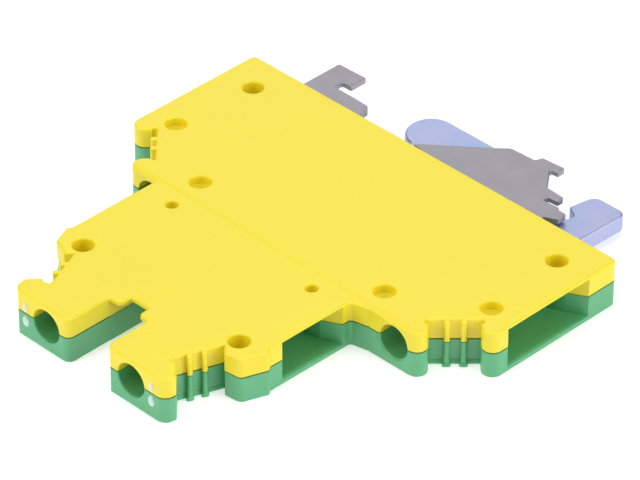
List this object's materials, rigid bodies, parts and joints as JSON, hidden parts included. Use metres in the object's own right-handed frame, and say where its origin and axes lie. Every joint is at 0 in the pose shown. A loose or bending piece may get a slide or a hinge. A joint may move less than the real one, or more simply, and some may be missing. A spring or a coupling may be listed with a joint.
{
  "type": "double-deck protective-earth terminal block",
  "caption": "Slim double-deck protective-earth screw terminal block with a yellow and green housing, slotted clamp screws and a metal foot that clamps on a mounting rail.",
  "frame": {"origin": "centre of the bounding box's underside, the flat outer face of the green housing half", "axes": "+Z through the block's thickness, from the green half to the yellow half and along the rail it is clamped on; +Y towards the rail; +X across the rail, from the fixed hook to the clamping jaw"},
  "size_m": [0.06, 0.0646, 0.0062],
  "materials": {
    "yellow_plastic": "fine moulded satin polyamide",
    "green_plastic": "fine moulded satin polyamide",
    "nickel_sheet": "matte nickel-plated stamped sheet",
    "zinc_jaw": "satin blue-zinc plating with bevelled edges",
    "zinc_screw": "bright zinc-plated turned steel",
    "tinned_copper": "plated copper alloy"
  },
  "bodies": {
    "housing": {"housing_yellow_half": "yellow_plastic", "housing_green_half": "green_plastic", "lower_current_bar": "tinned_copper", "upper_current_bar": "tinned_copper", "earth_link_strap": "tinned_copper", "rail_hook_plate": "nickel_sheet", "rail_toothed_plate": "nickel_sheet", "earth_rivet_left": "zinc_screw", "earth_rivet_right": "zinc_screw", "rivet_bush_left": "tinned_copper", "rivet_bush_right": "tinned_copper"},
    "yoke_lower_left": {"clamp_yoke_lower_left": "zinc_screw"},
    "yoke_lower_right": {"clamp_yoke_lower_right": "zinc_screw"},
    "yoke_upper_left": {"clamp_yoke_upper_left": "zinc_screw"},
    "yoke_upper_right": {"clamp_yoke_upper_right": "zinc_screw"},
    "screw_lower_left": {"clamp_screw_lower_left": "zinc_screw"},
    "screw_lower_right": {"clamp_screw_lower_right": "zinc_screw"},
    "screw_upper_left": {"clamp_screw_upper_left": "zinc_screw"},
    "screw_upper_right": {"clamp_screw_upper_right": "zinc_screw"},
    "foot_screw": {"foot_screw": "zinc_screw"},
    "rail_jaw": {"rail_clamping_jaw": "zinc_jaw", "foot_nut": "zinc_screw"}
  },
  "joints": [
    {"name": "clamp_screw_lower_left_turn", "type": "hinge", "parent": "housing", "child": "screw_lower_left", "pos_m": [-0.02005, 0.001, 0.0033], "axis": [0, 1, 0], "range_deg": [0, 2524]},
    {"name": "clamp_screw_lower_right_turn", "type": "hinge", "parent": "housing", "child": "screw_lower_right", "pos_m": [0.02005, 0.001, 0.0033], "axis": [0, 1, 0], "range_deg": [0, 2524]},
    {"name": "clamp_screw_upper_left_turn", "type": "hinge", "parent": "housing", "child": "screw_upper_left", "pos_m": [-0.0098, -0.02, 0.0033], "axis": [0, 1, 0], "range_deg": [0, 2524]},
    {"name": "clamp_screw_upper_right_turn", "type": "hinge", "parent": "housing", "child": "screw_upper_right", "pos_m": [0.0043, -0.02, 0.0033], "axis": [0, 1, 0], "range_deg": [0, 2524]},
    {"name": "clamp_yoke_lower_left_rise", "type": "slide", "parent": "housing", "child": "yoke_lower_left", "axis": [0, -1, 0], "range_m": [0, 0.0035]},
    {"name": "clamp_yoke_lower_right_rise", "type": "slide", "parent": "housing", "child": "yoke_lower_right", "axis": [0, -1, 0], "range_m": [0, 0.0035]},
    {"name": "clamp_yoke_upper_left_rise", "type": "slide", "parent": "housing", "child": "yoke_upper_left", "axis": [0, -1, 0], "range_m": [0, 0.0035]},
    {"name": "clamp_yoke_upper_right_rise", "type": "slide", "parent": "housing", "child": "yoke_upper_right", "axis": [0, -1, 0], "range_m": [0, 0.0035]},
    {"name": "foot_screw_turn", "type": "hinge", "parent": "housing", "child": "foot_screw", "pos_m": [-0.00275, 0.011, 0.00365], "axis": [0, 1, 0], "range_deg": [-1084, 724]},
    {"name": "rail_jaw_slide", "type": "slide", "parent": "housing", "child": "rail_jaw", "axis": [0, -1, 0], "range_m": [-0.0015, 0.001]}
  ],
  "couplings": [
    {"joint": "clamp_screw_lower_left_turn", "follows": "clamp_yoke_lower_left_rise", "rad_per_m": 12566},
    {"joint": "clamp_screw_lower_right_turn", "follows": "clamp_yoke_lower_right_rise", "rad_per_m": 12566},
    {"joint": "clamp_screw_upper_left_turn", "follows": "clamp_yoke_upper_left_rise", "rad_per_m": 12566},
    {"joint": "clamp_screw_upper_right_turn", "follows": "clamp_yoke_upper_right_rise", "rad_per_m": 12566},
    {"joint": "foot_screw_turn", "follows": "rail_jaw_slide", "rad_per_m": 12566}
  ]
}
